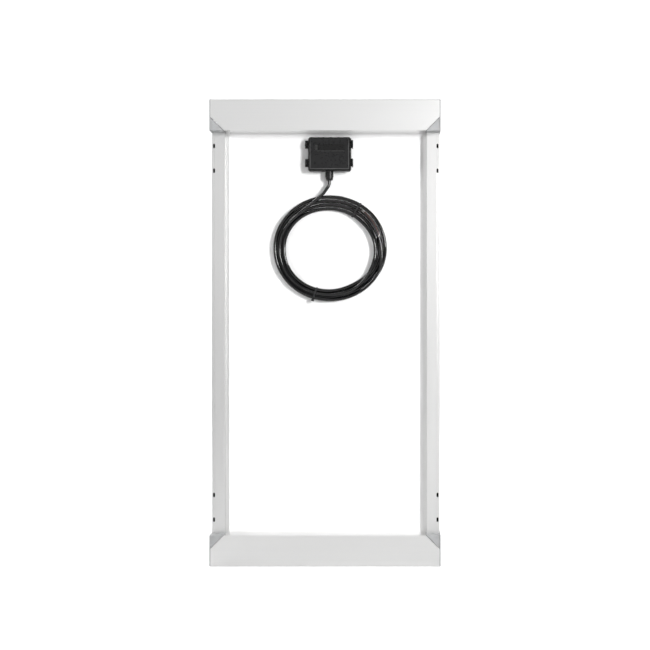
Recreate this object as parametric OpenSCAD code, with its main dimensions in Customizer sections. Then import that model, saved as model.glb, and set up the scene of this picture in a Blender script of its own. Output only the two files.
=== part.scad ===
// Framed solar panel for a vehicle or boat roof. Hollow wedge-shaped rails run across its two ends and
// slimmer rails down its sides. They hold a glass laminate of half cells, with a junction box and a coiled
// two-core lead on its back. The back faces -Y, the glass faces +Y, and Z runs along the panel. The origin
// is the middle of the plane that the two end rails are fastened down on.

/* [Panel] */
// Overall width, over the corner caps
panel_w = 510; // [500:1:530]
// Overall length, over both end rails
panel_l = 1030; // [1020:1:1060]
// Overall depth, from the mounting plane to the front of the frame
panel_d = 50; // [48:1:54]
// Thickness of the frame lip over the glass
lip_t = 1.5; // [1.2:0.1:2]

/* [End rails] */
// Width of each end rail along the panel
end_rail_w = 69; // [66:1:74]
// Height of the upright nose at the outer edge
nose_d = 8; // [6:1:10]
// Width of the lip over the glass at the foot of the slope
end_lip_w = 12; // [11:0.5:14]
// Wall thickness of the extrusion
rail_wall = 2; // [1.6:0.1:2.2]
// Leg of the 45 degree cut at each inner corner
corner_cut = 30; // [28:1:32]
// Radius of the outer back edge
edge_r = 2.5; // [1.5:0.5:3]

/* [Corner caps] */
// Thickness of the cap's end plate
cap_plate_t = 2.5; // [2:0.1:3]
// How far the corner block sits below the rail's back
cap_step = 1.5; // [1:0.1:2]
// Gap left along the corner block's slanted edge
cap_gap = 1; // [0.6:0.1:1.4]
// Diameter of the self-tapping cap screws
cap_screw_d = 3.9; // [3.5:0.1:3.9]
// Length of the cap screws
cap_screw_l = 16; // [12:1:18]

/* [Side rails] */
// Width of the back wall of each side rail
side_rail_w = 29; // [27:0.5:30]
// Depth of the side rails
side_rail_d = 25; // [24:0.5:26]
// How far the side rails stand in from the corner caps
side_inset = 1.5; // [1:0.1:2]
// How far the upper chamber reaches in past the back wall
ledge_w = 7.3; // [6:0.1:8]
// Wall thickness of the extrusion
side_wall = 1.5; // [1.3:0.1:1.6]
// Width of the lip over the glass
side_lip_w = 11; // [10:0.5:12]
// Width of a mounting slot
slot_w = 4.4; // [4:0.1:4.8]
// Length of a mounting slot
slot_l = 10; // [8:0.5:12]
// Distance between the two slots of a pair
slot_pitch = 55; // [50:1:60]

/* [Laminate] */
// Thickness of the front glass
glass_t = 3.2; // [3:0.1:3.4]
// Thickness of each encapsulant layer
encapsulant_t = 0.4; // [0.35:0.05:0.5]
// Thickness of the white backsheet
backsheet_t = 0.4; // [0.3:0.05:0.5]
// Width of a half cell
cell_w = 156.75; // [150:0.25:157]
// Length of a half cell
cell_l = 78.4; // [76:0.1:78.5]
// Number of rows of half cells
cell_rows = 11; // [9:1:11]
// Number of ribbons on each cell
ribbon_count = 5; // [3:1:6]

/* [Junction box] */
// Width of the lid
box_w = 96.4; // [92:0.2:100]
// Height of the lid along the panel
box_h = 77; // [74:0.5:80]
// Distance of the lid's face from the mounting plane
lid_y = 20; // [19:0.5:21]
// Wall thickness of the lid and the base
box_wall = 2.2; // [2:0.1:2.4]
// Distance from the lid's edge to its raised face
face_inset = 4.6; // [4:0.2:6]
// Diameter of the hinge pins
pin_d = 2; // [1.8:0.1:2.2]

/* [Lead] */
// Diameter of the two-core lead
lead_d = 7.5; // [7:0.1:7.6]
// Radius of the coil to the middle of its bundle
coil_r = 107.75; // [104:0.25:110]
// Width of the bundle
bundle_w = 31; // [29:0.5:32]
// Diameter of each insulated core
core_d = 2.4; // [2:0.1:2.6]

/* [Hidden] */
$fn = 48;

// A little overshoot, so that a cut goes right through
over = 1;

// Distances out from the middle of the panel
end_z = panel_l / 2;
rail_x = panel_w / 2 - cap_plate_t;
inner_z = end_z - end_rail_w;
slope_foot_z = inner_z + end_lip_w;
seat_end_z = slope_foot_z - rail_wall;
side_x = panel_w / 2 - side_inset;
side_in_x = side_x - side_rail_w;
ledge_x = side_in_x - ledge_w;
seat_end_x = side_x - side_wall;
side_lip_x = side_x - side_lip_w;

// Depths of the layers, from the mounting plane
glass_front_y = panel_d - lip_t;
glass_back_y = glass_front_y - glass_t;
front_layer_y = glass_back_y - encapsulant_t;
cell_t = 0.2;
cell_back_y = front_layer_y - cell_t;
rear_layer_y = front_layer_y - encapsulant_t;
laminate_back_y = rear_layer_y - backsheet_t;
seat_back_y = laminate_back_y - rail_wall;
side_back_y = panel_d - side_rail_d;
ledge_y = side_back_y + 11;
ledge_wall = 1.5;

// Laminate, 1 mm short of the end of its seat
seal_t = 1;
laminate_x = seat_end_x - seal_t;
laminate_z = seat_end_z - seal_t;

// Slope of the end rail's outer face
slope_rise = panel_d - nose_d;
slope_run = end_z - slope_foot_z;
slope_wall = rail_wall * norm([slope_rise, slope_run]) / slope_rise;
function slope_out(y) = end_z - (y - nose_d) * slope_run / slope_rise;
function slope_in(y) = slope_out(y) - slope_wall;
function slope_in_depth(z) = nose_d + (end_z - slope_wall - z) * slope_rise / slope_run;

// Screw ports of the end rails, as [z, y]
port_d = cap_screw_d + 0.1;
port_boss_d = 8;
screw_ports = [[end_z - 7, 7], [end_z - 31, 24]];
screw_head_d = 7.5;
screw_head_t = 1.9;

// Mounting slots of the side rails
slot_x = side_x - 4.7;
slot_strip_w = 5;
slot_strip_step = 0.4;
slot_near_end = 99;
slot_zs = [end_z - slot_near_end, end_z - slot_near_end - slot_pitch];

// Corner keys
key_t = 4.5;
key_leg = 42;
key_y = seat_back_y - key_t;

// Half cells in three strings, side by side
columns = [-1:1];
cell_gap = 2;
cell_pitch_x = cell_w + cell_gap;
cell_pitch_z = cell_l + cell_gap;
string_l = cell_rows * cell_pitch_z - cell_gap;
ribbon_w = 1;
ribbon_t = 0.1;
ribbon_pitch = cell_w / ribbon_count;
busbar_w = 3;
busbar_z = string_l / 2 + 3;
return_x = side_lip_x + 3.5;
return_z = inner_z + 3.5;
tab_w = 5;
tab_t = 0.1;
busbar_gap = 4;

// Junction box, with its middle at [box_x, box_z]
box_x = 8.4;
box_z = 397.9;
box_r = 6;
lid_edge = [3.2, 3.4];
lid_draft = 0.8;
window = [[box_x - 33, box_x + 33.5], [box_z + 7, box_z + 21.5]];
window_depth = 1.1;
window_slope = 1.4;
window_tab = 4.5;
lid_step_y = lid_y + 5;
lid_rim_y = lid_y + 10.5;
base_gap = 0.5;
base_w = box_w - 2 * (box_wall + base_gap);
base_h = box_h - 2 * (box_wall + base_gap);
gasket_t = 1;
base_top_y = lid_step_y + gasket_t;
pad_t = 1;
base_floor_y = laminate_back_y - pad_t;
floor_t = 2;
lead_out_x = [box_x - 20.4, box_x + 0.1, box_x + 14.1];
lead_out_z = box_z + 22.1;

// Lid hinge
hinge_x = box_x - box_w / 2 - 4.2;
hinge_y = lid_y + 14;
knuckle_r = 2.9;
hinge_zs = [box_z - 18.7, box_z + 22.5];
hinge_l = 17.4;
lid_knuckle_l = 6.8;
knuckle_gap = 0.3;
pin_play = 0.1;

// Latches opposite the hinge
latch_x = box_x + box_w / 2 + 1;
latch_t = 2.8;
catch_gap = 0.3;

// Terminals inside the box
block_y = base_floor_y - floor_t - 8;
clamp_xs = [box_x - 20.4, box_x, box_x + 20.4];
clamp_z = box_z + 6;
clamp_t = 1.2;
clamp_y = block_y - clamp_t;
clamp_screw_z = clamp_z - 2;
clamp_hole_d = 3.1;
diode_z = box_z - 4.6;
diode_l = 8;
diode_lead_d = 1.2;

// Cable gland
gland_x = 7.5;
gland_y = 33.5;
gland_wall_z = box_z - base_h / 2;
gland_hex = 16;
gland_hex_z = gland_wall_z - 3.2;
thread_d = 13;
nut_d = 17.9;
nut_top_z = gland_hex_z - 0.3;
nut_dome_z = nut_top_z - 11.5;
nut_end_z = nut_dome_z - 7;
nut_end_d = 11;
nut_play = 0.1;
cable_play = 1.1;
stub_end_z = nut_dome_z + 4;
locknut_t = 3;
locknut_hex = 14.6;

// Lead and coil. The lower layer of the coil lies 1.1 mm clear of the backsheet, on its ties.
tie_t = 1.1;
tie_w = 3.6;
coil_x = 9.8;
coil_z = 188.6;
coil_back_y = laminate_back_y - tie_t;
coil_top_y = coil_back_y - 14.8;
lead_sides = 12;
lead_route = [
    [7.5, 33.5, 369], [7.5, 33.5, 352], [7.5, 33.5, 336], [6.4, 33.2, 331], [4, 32.6, 326],
    [0.6, 32, 320.5], [-3, 31.7, 315.5], [-6, 31.6, 311.5]
];
free_end_angle = 13;
core_end_angle = 47;
core_y = coil_top_y - core_d / 2 - 0.05;
core_rs = [110.2, 113];
ferrule_angle = 4;
tie_angles = [56, 251];
front_head = [[coil_r - 2, coil_r + 2.5], [coil_top_y - 4.7, coil_top_y - 0.6]];
outer_head = [[coil_r + bundle_w / 2 + 0.6, coil_r + bundle_w / 2 + 5.1], [coil_top_y + 2, coil_top_y + 7]];

// Box between two corners, given as a range along each axis
module span(x, y, z)
    translate([x[0], y[0], z[0]])
        cube([x[1] - x[0], y[1] - y[0], z[1] - z[0]]);

// Raises an outline drawn as [x, z] between two depths
module sheet(y)
    translate([0, y[1], 0])
        rotate([90, 0, 0])
            linear_extrude(y[1] - y[0])
                children();

// Extrudes a section drawn as [z, y] along X, between two places
module bar_x(x)
    translate([x[1], 0, 0])
        rotate([0, -90, 0])
            linear_extrude(x[1] - x[0])
                children();

// Rod along X
module rod_x(x, y, z, d)
    translate([x[0], y, z])
        rotate([0, 90, 0])
            cylinder(d = d, h = x[1] - x[0]);

// Rod along Y
module rod_y(x, y, z, d)
    translate([x, y[1], z])
        rotate([90, 0, 0])
            cylinder(d = d, h = y[1] - y[0]);

// Rectangle with round corners, centred
module round_rect(w, h, r) {
    square([w - 2 * r, h], center = true);
    square([w, h - 2 * r], center = true);
    for (x = [-1, 1], z = [-1, 1])
        translate([x * (w / 2 - r), z * (h / 2 - r)])
            circle(r);
}

// Outline around the junction box, inset on every side
module box_outline(inset)
    translate([box_x, box_z])
        round_rect(box_w - 2 * inset, box_h - 2 * inset, max(box_r - inset, 1));

// Copies a part of the top right corner to another corner
module at_corner(side, end)
    mirror([side < 0 ? 1 : 0, 0, 0])
        mirror([0, 0, end < 0 ? 1 : 0])
            children();

// ---- Frame ----

// Outer face of the end rail, from its inner back edge over the nose to the glass
function end_rail_back() = concat(
    [[inner_z, 0]],
    [for (a = [-90:15:0]) [end_z - edge_r + edge_r * cos(a), edge_r + edge_r * sin(a)]],
    [[end_z, nose_d], [slope_foot_z, panel_d], [inner_z, panel_d]]
);

module end_rail_section()
    difference() {
        union() {
            difference() {
                polygon(end_rail_back());
                polygon([
                    [inner_z + rail_wall, rail_wall],
                    [end_z - rail_wall, rail_wall],
                    [end_z - rail_wall, slope_in_depth(end_z - rail_wall)],
                    [slope_in(seat_back_y), seat_back_y],
                    [inner_z + rail_wall, seat_back_y]
                ]);
            }
            for (port = screw_ports)
                translate(port)
                    circle(d = port_boss_d);
        }
        translate([inner_z - over, laminate_back_y])
            square([seat_end_z - inner_z + over, glass_front_y - laminate_back_y]);
        for (port = screw_ports)
            translate(port)
                circle(d = port_d);
    }

// The 45 degree cut, behind the seat of the laminate
module corner_cut_shape(cut, reach)
    polygon([
        [rail_x - cut - reach, inner_z - reach],
        [rail_x + reach, inner_z - reach],
        [rail_x + reach, inner_z + cut + reach]
    ]);

module end_rail()
    color("silver")
        difference() {
            bar_x([-rail_x, rail_x]) end_rail_section();
            for (side = [-1, 1])
                at_corner(side, 1)
                    sheet([-over, seat_back_y]) corner_cut_shape(corner_cut, over);
        }

module side_rail_section()
    difference() {
        polygon([
            [side_in_x, side_back_y],
            [side_x - slot_strip_w - slot_strip_step, side_back_y],
            [side_x - slot_strip_w, side_back_y + slot_strip_step],
            [side_x - side_wall / 2, side_back_y + slot_strip_step],
            [side_x, side_back_y + slot_strip_step + side_wall / 2],
            [side_x, panel_d],
            [side_lip_x, panel_d],
            [side_lip_x, glass_front_y],
            [seat_end_x, glass_front_y],
            [seat_end_x, laminate_back_y],
            [ledge_x, laminate_back_y],
            [ledge_x, ledge_y],
            [side_in_x, ledge_y]
        ]);
        translate([side_in_x + side_wall, side_back_y + slot_strip_step + side_wall])
            square([side_rail_w - 2 * side_wall, ledge_y - side_back_y - slot_strip_step - side_wall]);
        translate([ledge_x + side_wall, ledge_y + ledge_wall])
            square([seat_end_x - ledge_x - side_wall, seat_back_y - ledge_y - ledge_wall]);
    }

// Slot with round ends, through the back wall of the side rail
module slot_cut(z) {
    y = [side_back_y - over, side_back_y + slot_strip_step + side_wall + over];
    for (end = [-1, 1])
        rod_y(slot_x, y, z + end * (slot_l - slot_w) / 2, slot_w);
    span(
        [slot_x - slot_w / 2, slot_x + slot_w / 2],
        y,
        [z - (slot_l - slot_w) / 2, z + (slot_l - slot_w) / 2]
    );
}

module side_rail()
    color("silver")
        difference() {
            translate([0, 0, -inner_z])
                linear_extrude(2 * inner_z)
                    side_rail_section();
            for (z = slot_zs, end = [-1, 1])
                slot_cut(end * z);
        }

// Self-tapping screw, with its countersunk head at the outer face of the cap
module cap_screw(port, play) {
    head_x = panel_w / 2 - screw_head_t;
    rod_x([panel_w / 2 - cap_screw_l, head_x + over], port[1], port[0], cap_screw_d + play);
    translate([head_x, port[1], port[0]])
        rotate([0, 90, 0])
            cylinder(d1 = cap_screw_d + play, d2 = screw_head_d + play, h = screw_head_t);
}

module cross_recess(port)
    for (size = [[0.9, 4.4], [4.4, 0.9]])
        span(
            [panel_w / 2 - 1.2, panel_w / 2 + over],
            [port[1] - size[0] / 2, port[1] + size[0] / 2],
            [port[0] - size[1] / 2, port[0] + size[1] / 2]
        );

// Moulded cap: end plate, recessed corner block and two ribs that reach into the end rail
module corner_cap() {
    rib_l = 20;
    rib_t = 2;
    block_wall = 2.5;
    color([0.7, 0.71, 0.72])
        difference() {
            union() {
                bar_x([rail_x, panel_w / 2]) polygon(end_rail_back());
                sheet([cap_step, cap_step + block_wall]) corner_cut_shape(corner_cut - cap_gap, 0);
                intersection() {
                    sheet([cap_step, ledge_y + 1]) corner_cut_shape(corner_cut - cap_gap, 0);
                    span([0, panel_w], [0, panel_d], [inner_z, inner_z + block_wall]);
                }
                for (z = [end_z - 38.5, end_z - 21])
                    span(
                        [rail_x - rib_l, rail_x + over],
                        [rail_wall, slope_in_depth(z + rib_t) - rib_t],
                        [z, z + rib_t]
                    );
            }
            for (port = screw_ports)
                cap_screw(port, 0.1);
        }
}

// Cast key: one leg in the side rail's upper chamber, the other inside the end rail
module corner_key() {
    play = 0.4;
    leg_in = ledge_x + side_wall + play;
    leg_out = seat_end_x - play;
    neck_in = rail_x - corner_cut + 3.5;
    top_z = slope_in(seat_back_y) - 1.3;
    color([0.55, 0.56, 0.58])
        sheet([key_y, seat_back_y])
            polygon([
                [leg_in, inner_z - key_leg],
                [leg_out, inner_z - key_leg],
                [leg_out, inner_z - 1],
                [rail_x - 3, inner_z + 1],
                [rail_x - 3, top_z],
                [neck_in - key_leg, top_z],
                [neck_in - key_leg, inner_z + rail_wall + play],
                [neck_in, inner_z + rail_wall + play],
                [neck_in, inner_z - 1],
                [leg_in, inner_z - 1]
            ]);
}

module cap_screws()
    color([0.8, 0.8, 0.82])
        for (side = [-1, 1], end = [-1, 1])
            at_corner(side, end)
                for (port = screw_ports)
                    difference() {
                        cap_screw(port, 0);
                        cross_recess(port);
                        span([panel_w / 2, panel_w], [0, panel_d], [0, panel_l]);
                    }

// ---- Laminate ----

module laminate_layer(y)
    span([-laminate_x, laminate_x], y, [-laminate_z, laminate_z]);

module front_glass()
    color([0.75, 0.85, 0.88, 0.5]) laminate_layer([glass_back_y, glass_front_y]);

// Long grooves that the ribbons lie in
module ribbon_grooves(y)
    for (column = columns, ribbon = [0:ribbon_count - 1]) {
        x = column * cell_pitch_x + (ribbon - (ribbon_count - 1) / 2) * ribbon_pitch;
        span([x - ribbon_w / 2, x + ribbon_w / 2], y, [-busbar_z - 1, busbar_z + 1]);
    }

module front_encapsulant()
    color([0.9, 0.92, 0.92, 0.5])
        difference() {
            laminate_layer([front_layer_y, glass_back_y]);
            ribbon_grooves([front_layer_y - over, front_layer_y + ribbon_t]);
        }

module solar_cells()
    color([0.05, 0.06, 0.12])
        for (column = columns, row = [0:cell_rows - 1]) {
            x = column * cell_pitch_x;
            z = row * cell_pitch_z - string_l / 2;
            span([x - cell_w / 2, x + cell_w / 2], [cell_back_y, front_layer_y], [z, z + cell_l]);
        }

// Ribbon between cell number row - 1, on its front, and cell number row, on its back
module cell_ribbon(x, row) {
    gap_z = row * cell_pitch_z - cell_gap / 2;
    rear_y = cell_back_y - ribbon_t;
    front_y = front_layer_y + ribbon_t;
    clear = 1;
    link = 0.3;
    start_z = row == 0 ? -busbar_w - 1 : gap_z - cell_pitch_z + clear;
    end_of = row == cell_rows ? string_l + busbar_w + 1 : gap_z + cell_pitch_z - clear;
    outline = row == 0
        ? [[start_z, rear_y], [end_of, rear_y], [end_of, cell_back_y], [start_z, cell_back_y]]
        : row == cell_rows
        ? [[start_z, front_layer_y], [end_of, front_layer_y], [end_of, front_y], [start_z, front_y]]
        : [
            [start_z, front_layer_y], [gap_z - link, front_layer_y], [gap_z - link, rear_y],
            [end_of, rear_y], [end_of, cell_back_y], [gap_z + link, cell_back_y],
            [gap_z + link, front_y], [start_z, front_y]
        ];
    translate([0, 0, -string_l / 2])
        bar_x([x - ribbon_w / 2, x + ribbon_w / 2]) polygon(outline);
}

// Neighbouring strings run opposite ways, so every second one is turned over
module cell_ribbons()
    color([0.78, 0.79, 0.8])
        for (column = columns)
            mirror([0, 0, column == 0 ? 1 : 0])
                for (ribbon = [0:ribbon_count - 1], row = [0:cell_rows])
                    cell_ribbon(
                        column * cell_pitch_x + (ribbon - (ribbon_count - 1) / 2) * ribbon_pitch,
                        row
                    );

module busbar(x, z)
    span(x, [cell_back_y, front_layer_y], [z - busbar_w / 2, z + busbar_w / 2]);

// Strip that leaves the laminate through the backsheet and stands up inside the box
module lead_out(x, from_z)
    bar_x([x - tab_w / 2, x + tab_w / 2])
        polygon([
            [from_z, rear_layer_y], [from_z, rear_layer_y + tab_t], [lead_out_z - tab_t, rear_layer_y + tab_t],
            [lead_out_z - tab_t, clamp_y], [lead_out_z, clamp_y], [lead_out_z, rear_layer_y]
        ]);

module string_busbars() {
    half = cell_pitch_x * 1.5;
    first_end = -cell_pitch_x / 2 - busbar_gap;
    color([0.78, 0.79, 0.8]) {
        busbar([-half, first_end], busbar_z);
        span([first_end - busbar_w, first_end], [cell_back_y, front_layer_y], [busbar_z, return_z]);
        busbar([first_end - busbar_w, lead_out_x[0] + tab_w / 2], return_z);
        busbar([-cell_pitch_x / 2, half], busbar_z);
        busbar([-half, cell_pitch_x / 2 - busbar_gap], -busbar_z);
        busbar([cell_pitch_x / 2, return_x + busbar_w / 2], -busbar_z);
        busbar([lead_out_x[2] - tab_w / 2, return_x + busbar_w / 2], return_z);
        span(
            [return_x - busbar_w / 2, return_x + busbar_w / 2],
            [cell_back_y, front_layer_y],
            [-busbar_z, return_z]
        );
        for (n = [0:2]) {
            x = lead_out_x[n];
            z = n == 1 ? busbar_z : return_z;
            lead_out(x, z);
            span([x - tab_w / 2, x + tab_w / 2], [rear_layer_y, cell_back_y], [z - busbar_w / 2, z]);
        }
    }
}

module rear_encapsulant()
    color([0.9, 0.92, 0.92, 0.5])
        difference() {
            laminate_layer([rear_layer_y, front_layer_y]);
            solar_cells();
            ribbon_grooves([cell_back_y - ribbon_t, front_layer_y + over]);
            string_busbars();
            lead_out_slot([0, panel_d]);
        }

// Slot for the lead-out strips
module lead_out_slot(y)
    span([box_x - 25, box_x + 19], y, [lead_out_z - 2, lead_out_z + 2]);

module backsheet()
    color("white")
        difference() {
            laminate_layer([laminate_back_y, rear_layer_y]);
            lead_out_slot([0, panel_d]);
        }

module edge_seal()
    color([0.2, 0.2, 0.2])
        difference() {
            span([-seat_end_x, seat_end_x], [laminate_back_y, glass_front_y], [-seat_end_z, seat_end_z]);
            laminate_layer([0, panel_d]);
        }

// ---- Junction box ----

module adhesive_pad()
    color([0.15, 0.15, 0.15])
        difference() {
            sheet([base_floor_y, laminate_back_y]) box_outline(box_wall + base_gap + 1);
            lead_out_slot([0, panel_d]);
        }

module knuckle(z, length)
    translate([hinge_x, hinge_y, z - length / 2])
        cylinder(r = knuckle_r, h = length);

module pin_hole(z, play)
    translate([hinge_x, hinge_y, z - hinge_l])
        cylinder(d = pin_d + play, h = 2 * hinge_l);

module base_lugs(z) {
    lug_l = (hinge_l - lid_knuckle_l) / 2 - knuckle_gap;
    for (end = [-1, 1]) {
        lug_z = z + end * (hinge_l - lug_l) / 2;
        knuckle(lug_z, lug_l);
        span(
            [hinge_x, box_x - base_w / 2 + 0.5],
            [hinge_y - 2.2, hinge_y + knuckle_r],
            [lug_z - lug_l / 2, lug_z + lug_l / 2]
        );
    }
}

module junction_box_base() {
    inset = box_wall + base_gap;
    color([0.13, 0.13, 0.14])
        difference() {
            union() {
                sheet([base_top_y, base_floor_y]) box_outline(inset);
                for (z = hinge_zs)
                    base_lugs(z);
                for (z = hinge_zs)
                    span(
                        [box_x + base_w / 2 - 0.5, latch_x - catch_gap],
                        [hinge_y, hinge_y + 3],
                        [z - 6, z + 6]
                    );
            }
            sheet([0, base_floor_y - floor_t]) box_outline(inset + box_wall);
            for (z = hinge_zs)
                pin_hole(z, 0);
            lead_out_slot([0, panel_d]);
            translate([gland_x, gland_y, gland_wall_z - over])
                cylinder(d = thread_d + 0.1, h = box_wall + 2 * over);
        }
}

// Arm that carries the lid's knuckle, drawn as [x, y]
module lid_arm(z)
    translate([0, 0, z - lid_knuckle_l / 2])
        linear_extrude(lid_knuckle_l)
            polygon([
                [hinge_x - knuckle_r, hinge_y],
                [hinge_x - knuckle_r, hinge_y - 4],
                [hinge_x + 1, lid_y + 5],
                [box_x - box_w / 2 + 1, lid_y + 5],
                [box_x - box_w / 2 + 1, lid_rim_y],
                [hinge_x + knuckle_r, hinge_y - 2]
            ]);

// Grooved pull of a latch, along the side of the lid
module lid_latch(z) {
    span([box_x + box_w / 2 - 1.8, latch_x + latch_t], [lid_y + 4, lid_y + 7], [z - 8.7, z + 8.7]);
    span([latch_x, latch_x + latch_t], [lid_y + 4, hinge_y + 4], [z - 8.7, z + 8.7]);
}

// Shallow window in the lid's face, with a sloped lower edge and a raised tab left at one end
module label_window()
    difference() {
        hull() {
            span(
                [window[0][0], window[0][1]],
                [lid_y - over, lid_y],
                [window[1][0] - window_slope, window[1][1]]
            );
            span([window[0][0], window[0][1]], [lid_y - over, lid_y + window_depth], window[1]);
        }
        span(
            [window[0][0] + 1.5, window[0][0] + 1.5 + window_tab],
            [lid_y, lid_y + 2 * window_depth],
            [window[1][0] - window_slope - over, window[1][1] - 1.5]
        );
    }

module junction_box_lid()
    color([0.16, 0.16, 0.17])
        difference() {
            union() {
                hull() {
                    sheet([lid_y, lid_rim_y]) box_outline(face_inset);
                    sheet([lid_y + lid_edge[0], lid_rim_y]) box_outline(face_inset - lid_edge[1]);
                    sheet([lid_step_y, lid_rim_y]) box_outline(lid_draft);
                    sheet([lid_rim_y - 0.5, lid_rim_y]) box_outline(0);
                }
                for (z = hinge_zs) {
                    knuckle(z, lid_knuckle_l);
                    lid_arm(z);
                    lid_latch(z);
                }
            }
            sheet([lid_step_y, panel_d]) box_outline(box_wall);
            sheet([lid_y + box_wall, panel_d]) box_outline(face_inset + box_wall);
            label_window();
            for (z = hinge_zs)
                pin_hole(z, pin_play);
            span(
                [gland_x - nut_d / 2 - 1, gland_x + nut_d / 2 + 1],
                [lid_step_y - 0.6, panel_d],
                [box_z - box_h / 2 - over, gland_wall_z]
            );
        }

module lid_gasket()
    color([0.3, 0.3, 0.31])
        sheet([lid_step_y, base_top_y])
            difference() {
                box_outline(box_wall + base_gap);
                box_outline(2 * box_wall + base_gap);
            }

module hinge_pins()
    color([0.75, 0.75, 0.77])
        for (z = hinge_zs)
            translate([hinge_x, hinge_y, z - hinge_l / 2])
                cylinder(d = pin_d, h = hinge_l);

module terminal_block()
    color([0.25, 0.25, 0.26])
        difference() {
            span([box_x - 28, box_x + 28], [block_y, block_y + 8], [clamp_z - 6, clamp_z + 6]);
            for (x = clamp_xs)
                rod_y(x, [block_y - over, block_y + 6], clamp_screw_z, clamp_hole_d);
        }

module terminal_clamps()
    color([0.8, 0.7, 0.35])
        for (x = clamp_xs)
            difference() {
                span([x - 6, x + 6], [clamp_y, block_y], [clamp_z - 12, lead_out_z - tab_t]);
                rod_y(x, [0, panel_d], clamp_screw_z, clamp_hole_d);
            }

module terminal_screws()
    color([0.8, 0.8, 0.82])
        for (x = clamp_xs)
            difference() {
                union() {
                    rod_y(x, [clamp_y, block_y + 5.5], clamp_screw_z, 3);
                    rod_y(x, [clamp_y - 2.2, clamp_y], clamp_screw_z, 5.6);
                }
                span([x - 3, x + 3], [clamp_y - 3, clamp_y - 1.4], [clamp_screw_z - 0.5, clamp_screw_z + 0.5]);
            }

module bypass_diodes()
    color([0.1, 0.1, 0.1])
        for (n = [0, 1]) {
            middle = (clamp_xs[n] + clamp_xs[n + 1]) / 2;
            lead_y = clamp_y - diode_lead_d / 2;
            rod_x([middle - diode_l / 2, middle + diode_l / 2], lead_y, diode_z, 5.3);
            rod_x([middle - diode_l, middle + diode_l], lead_y, diode_z, diode_lead_d);
        }

// ---- Sweeps ----

function unit(v) = v / norm(v);

// Direction of a route at one of its points
function heading(route, i) =
    unit(route[min(i + 1, len(route) - 1)] - route[max(i - 1, 0)]);

// One ring of a swept tube
function ring(centre, along, r, sides) =
    let (across = unit(cross(along, [0, 1, 0.01])), up = cross(across, along))
    [for (k = [0:sides - 1]) centre + r * (cos(360 * k / sides) * across + sin(360 * k / sides) * up)];

// Tube of even thickness along a route
module tube(route, d, sides) {
    last = len(route) - 1;
    points = [for (i = [0:last]) each ring(route[i], heading(route, i), d / 2, sides)];
    walls = [
        for (i = [0:last - 1], k = [0:sides - 1])
            let (a = i * sides + k, b = i * sides + (k + 1) % sides)
            each [[a, b, b + sides], [a, b + sides, a + sides]]
    ];
    start = [[for (k = [0:sides - 1]) sides - 1 - k]];
    finish = [[for (k = [0:sides - 1]) last * sides + k]];
    polyhedron(points, concat(start, walls, finish));
}

// Smooth run of points between two ends, leaving each end along a direction
function bend(a, da, b, db, steps) = [
    for (i = [0:steps])
        let (t = i / steps, u = 1 - t)
        u * u * u * a + 3 * u * u * t * (a + da) + 3 * u * t * t * (b - db) + t * t * t * b
];

module inner_wires()
    for (core = [[-1, clamp_xs[0], "black"], [1, clamp_xs[2], "firebrick"]])
        color(core[2])
            tube(
                concat(
                    [[gland_x + core[0] * core_d * 0.6, gland_y, lead_route[0][2]]],
                    bend(
                        [gland_x + core[0] * core_d * 0.6, gland_y, lead_route[0][2] + 1.5],
                        [0, 0, 12],
                        [core[1] + core[0] * 3, clamp_y - 0.1 - core_d / 2, clamp_z - 7],
                        [core[0] * 2, 0, 12],
                        10
                    )
                ),
                core_d, 8
            );

// ---- Gland ----

module gland_body()
    color([0.1, 0.1, 0.1])
        difference() {
            union() {
                translate([gland_x, gland_y, stub_end_z])
                    cylinder(d = thread_d, h = gland_wall_z + box_wall + locknut_t + 1 - stub_end_z);
                translate([gland_x, gland_y, gland_hex_z])
                    cylinder(d = gland_hex / cos(30), h = gland_wall_z - gland_hex_z, $fn = 6);
            }
            translate([gland_x, gland_y, stub_end_z - over])
                cylinder(d = lead_d + 0.2, h = 30);
            translate([gland_x, gland_y, stub_end_z - over])
                cylinder(d = 11.1, h = 4 + over);
        }

module gland_locknut()
    color([0.12, 0.12, 0.12])
        translate([gland_x, gland_y, gland_wall_z + box_wall])
            difference() {
                cylinder(d = locknut_hex / cos(30), h = locknut_t, $fn = 6);
                translate([0, 0, -over])
                    cylinder(d = thread_d + 0.1, h = locknut_t + 2 * over, $fn = 160);
            }

module gland_seal()
    color([0.3, 0.3, 0.3])
        translate([gland_x, gland_y, 0])
            rotate_extrude()
                polygon([
                    [lead_d / 2 + 0.05, stub_end_z - 1.2], [4.9, stub_end_z - 1.2], [5.5, stub_end_z],
                    [5.5, stub_end_z + 4], [lead_d / 2 + 0.05, stub_end_z + 4]
                ]);

module gland_ring()
    color([0.6, 0.6, 0.6])
        translate([gland_x, gland_y, 0])
            rotate_extrude()
                polygon([
                    [(lead_d + cable_play) / 2, nut_dome_z + 1], [6, nut_dome_z + 1],
                    [6, nut_dome_z + 2.4], [(lead_d + cable_play) / 2, nut_dome_z + 2.4]
                ]);

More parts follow.
